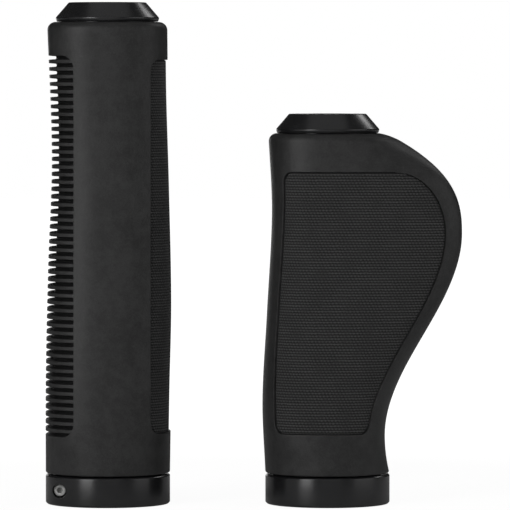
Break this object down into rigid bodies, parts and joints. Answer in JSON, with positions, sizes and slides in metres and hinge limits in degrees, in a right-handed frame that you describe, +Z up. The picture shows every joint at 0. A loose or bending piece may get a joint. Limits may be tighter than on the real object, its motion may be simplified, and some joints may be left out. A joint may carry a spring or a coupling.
{
  "type": "handlebar grip pair",
  "caption": "Pair of ergonomic lock-on handlebar grips with a palm wing, woven palm pad, finned underside, clamp ring and bar end cap, one long and one short.",
  "frame": {"origin": "middle of the pair's footprint, on the surface that both clamp rings stand on", "axes": "+Z up and outboard along both bar axes; +X from the long grip to the short grip, which is the way the short grip's wing points; +Y the way the long grip's wing points"},
  "size_m": [0.1122, 0.0536, 0.1353],
  "materials": {
    "grip_rubber": "black moulded rubber, matt",
    "woven_pad": "fine black plain weave, matt",
    "black_anodised": "black anodised, satin",
    "black_anodised_cap": "black anodised, satin, turned",
    "bolt_steel": "bright zinc",
    "black_steel": "black oxide",
    "sleeve_nylon": "glass-filled nylon, matt",
    "plug_nylon": "nylon, matt",
    "bare_aluminium": "turned, bare"
  },
  "bodies": {
    "long_grip": {"long_clamp_ring": "black_anodised", "long_core_sleeve": "sleeve_nylon", "long_wing_core": "sleeve_nylon", "long_rubber_body": "grip_rubber", "long_palm_pad": "woven_pad"},
    "long_clamp_washer": {"long_clamp_washer": "bolt_steel"},
    "long_clamp_bolt": {"long_clamp_bolt": "bolt_steel"},
    "long_end_cap": {"long_end_cap": "black_anodised_cap", "long_plug_expander": "plug_nylon"},
    "long_plug_screw": {"long_plug_screw": "black_steel"},
    "long_plug_wedge": {"long_plug_wedge": "bare_aluminium"},
    "short_grip": {"short_clamp_ring": "black_anodised", "short_core_sleeve": "sleeve_nylon", "short_wing_core": "sleeve_nylon", "short_rubber_body": "grip_rubber", "short_palm_pad": "woven_pad"},
    "short_clamp_washer": {"short_clamp_washer": "bolt_steel"},
    "short_clamp_bolt": {"short_clamp_bolt": "bolt_steel"},
    "short_end_cap": {"short_end_cap": "black_anodised_cap", "short_plug_expander": "plug_nylon"},
    "short_plug_screw": {"short_plug_screw": "black_steel"},
    "short_plug_wedge": {"short_plug_wedge": "bare_aluminium"}
  },
  "joints": [
    {"name": "long_bolt_travel", "type": "slide", "parent": "long_grip", "child": "long_clamp_washer", "axis": [0, -1, 0], "range_m": [0, 0.0012]},
    {"name": "long_bolt_turn", "type": "hinge", "parent": "long_clamp_washer", "child": "long_clamp_bolt", "pos_m": [-0.05205, -0.00918, 0.00405], "axis": [0, -1, 0], "range_deg": [0, 1080.2]},
    {"name": "long_cap_pull", "type": "slide", "parent": "long_grip", "child": "long_end_cap", "axis": [0, 0, 1], "range_m": [0, 0.035]},
    {"name": "long_plug_turn", "type": "hinge", "parent": "long_end_cap", "child": "long_plug_screw", "pos_m": [-0.0393, -0.00918, 0.1349], "axis": [0, 0, 1], "range_deg": [0, 1440.2]},
    {"name": "long_wedge_travel", "type": "slide", "parent": "long_end_cap", "child": "long_plug_wedge", "axis": [0, 0, -1], "range_m": [0, 0.0032]},
    {"name": "short_grip_lift", "type": "slide", "parent": "long_grip", "child": "short_grip", "axis": [0, 0, 1], "range_m": [0, 0.05]},
    {"name": "short_bolt_travel", "type": "slide", "parent": "short_grip", "child": "short_clamp_washer", "axis": [-1, 0, 0], "range_m": [0, 0.0012]},
    {"name": "short_bolt_turn", "type": "hinge", "parent": "short_clamp_washer", "child": "short_clamp_bolt", "pos_m": [0.0201, 0.00358, 0.00405], "axis": [-1, 0, 0], "range_deg": [0, 1080.2]},
    {"name": "short_cap_pull", "type": "slide", "parent": "short_grip", "child": "short_end_cap", "axis": [0, 0, 1], "range_m": [0, 0.035]},
    {"name": "short_plug_turn", "type": "hinge", "parent": "short_end_cap", "child": "short_plug_screw", "pos_m": [0.0201, -0.00918, 0.1049], "axis": [0, 0, 1], "range_deg": [0, 1440.2]},
    {"name": "short_wedge_travel", "type": "slide", "parent": "short_end_cap", "child": "short_plug_wedge", "axis": [0, 0, -1], "range_m": [0, 0.0032]}
  ],
  "couplings": [
    {"joint": "long_bolt_turn", "follows": "long_bolt_travel", "rad_per_m": 15708},
    {"joint": "long_plug_turn", "follows": "long_wedge_travel", "rad_per_m": 7854},
    {"joint": "short_bolt_turn", "follows": "short_bolt_travel", "rad_per_m": 15708},
    {"joint": "short_plug_turn", "follows": "short_wedge_travel", "rad_per_m": 7854}
  ]
}
